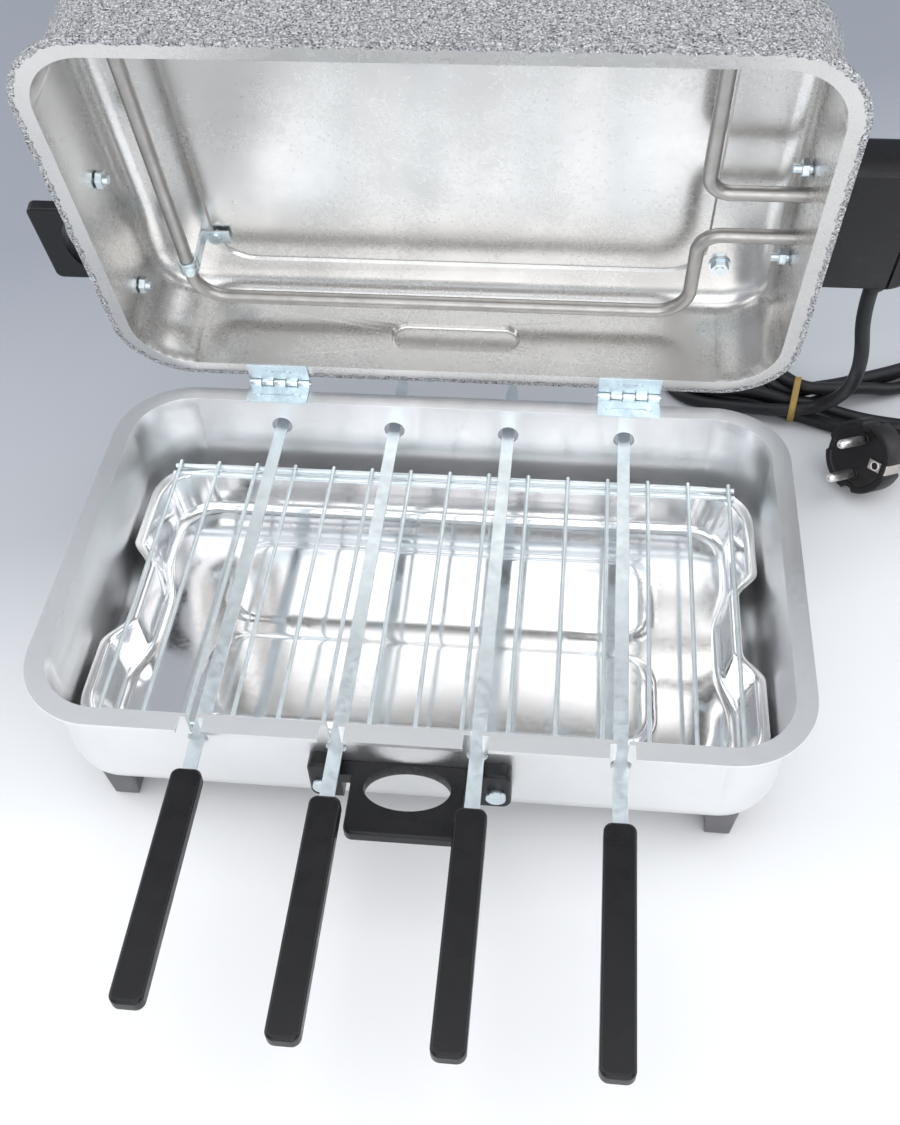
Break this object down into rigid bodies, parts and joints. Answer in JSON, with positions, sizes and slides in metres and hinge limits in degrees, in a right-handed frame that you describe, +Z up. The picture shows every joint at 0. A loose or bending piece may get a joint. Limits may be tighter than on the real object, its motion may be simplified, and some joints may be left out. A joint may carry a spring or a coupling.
{
  "type": "electric skewer grill",
  "caption": "Clamshell table grill: pressed pan on feet, hinged lid with a tubular heater, flat turning skewers, wire rack, drip tray, mains lead tied in a hank.",
  "frame": {"origin": "on the table plane, below the middle of the bounding box of the open grill without its lead", "axes": "+X to the user's right as they face the skewer handles, +Y to the rear (hinge side), +Z up"},
  "size_m": [0.4881, 0.468, 0.2794],
  "materials": {
    "pan_aluminium": "satin pressed sheet",
    "lid_aluminium": "satin inside, speckled grey paint outside",
    "tray_aluminium": "bright polished thin sheet",
    "foot_plastic": "dark grey moulded",
    "black_plastic": "black moulded, slightly glossy",
    "skewer_steel": "pale blue zinc-plated strip",
    "rack_wire": "bright zinc-plated wire",
    "element_sheath": "bare tubular sheath",
    "zinc_steel": "bright zinc plating",
    "cord_rubber": "matt black sheath",
    "tie_rubber": "ochre band",
    "plug_plastic": "black moulded",
    "plug_pin_metal": "nickel plated",
    "terminal_plastic": "ivory moulded"
  },
  "bodies": {
    "base": {"base_pan": "pan_aluminium", "cord_drop": "cord_rubber", "cord_hank": "cord_rubber", "cord_tail": "cord_rubber", "cord_tie": "tie_rubber", "foot_front_left": "foot_plastic", "foot_front_right": "foot_plastic", "foot_rear_left": "foot_plastic", "foot_rear_right": "foot_plastic", "foot_screws": "zinc_steel", "front_handle": "black_plastic", "front_handle_nuts": "zinc_steel", "front_handle_screws": "zinc_steel", "hinge_base_leaf_left": "zinc_steel", "hinge_base_leaf_right": "zinc_steel", "hinge_base_rivets": "zinc_steel", "hinge_pin_left": "zinc_steel", "hinge_pin_right": "zinc_steel", "plug_body": "plug_plastic", "plug_earth_contacts": "zinc_steel", "plug_pins": "plug_pin_metal"},
    "lid": {"cord_grommet": "cord_rubber", "earth_stud": "zinc_steel", "element_clip_screws": "zinc_steel", "element_clips": "zinc_steel", "element_terminals": "zinc_steel", "heating_element": "element_sheath", "hinge_lid_leaf_left": "zinc_steel", "hinge_lid_leaf_right": "zinc_steel", "hinge_lid_rivets": "zinc_steel", "inner_lead": "cord_rubber", "lid_shell": "lid_aluminium", "lid_side_handle": "black_plastic", "lid_side_handle_nuts": "zinc_steel", "lid_side_handle_screws": "zinc_steel", "terminal_block": "terminal_plastic", "terminal_box": "black_plastic", "terminal_box_cover": "black_plastic", "terminal_box_nuts": "zinc_steel", "terminal_box_screws": "zinc_steel"},
    "drip_tray": {"drip_tray": "tray_aluminium"},
    "rack": {"rack_cross_wires": "rack_wire", "rack_long_wires": "rack_wire"},
    "skewer_1": {"skewer_blade_1": "skewer_steel", "skewer_handle_1": "black_plastic"},
    "skewer_2": {"skewer_blade_2": "skewer_steel", "skewer_handle_2": "black_plastic"},
    "skewer_3": {"skewer_blade_3": "skewer_steel", "skewer_handle_3": "black_plastic"},
    "skewer_4": {"skewer_blade_4": "skewer_steel", "skewer_handle_4": "black_plastic"}
  },
  "joints": [
    {"name": "lid_hinge", "type": "hinge", "parent": "base", "child": "lid", "pos_m": [-0.00855, 0.1386, 0.0775], "axis": [1, 0, 0], "range_deg": [-20, 75.3], "deforming": ["cord_drop"]},
    {"name": "tray_lift", "type": "slide", "parent": "base", "child": "drip_tray", "axis": [0, 0, 1], "range_m": [0, 0.006]},
    {"name": "rack_lift", "type": "slide", "parent": "drip_tray", "child": "rack", "axis": [0, 0, 1], "range_m": [0, 0.006]},
    {"name": "skewer_1_spin", "type": "hinge", "parent": "base", "child": "skewer_1", "pos_m": [-0.09285, 0.0336, 0.061], "axis": [0, 1, 0], "continuous": true},
    {"name": "skewer_2_spin", "type": "hinge", "parent": "base", "child": "skewer_2", "pos_m": [-0.03665, 0.0336, 0.061], "axis": [0, 1, 0], "continuous": true},
    {"name": "skewer_3_spin", "type": "hinge", "parent": "base", "child": "skewer_3", "pos_m": [0.01955, 0.0336, 0.061], "axis": [0, 1, 0], "continuous": true},
    {"name": "skewer_4_spin", "type": "hinge", "parent": "base", "child": "skewer_4", "pos_m": [0.07575, 0.0336, 0.061], "axis": [0, 1, 0], "continuous": true}
  ]
}
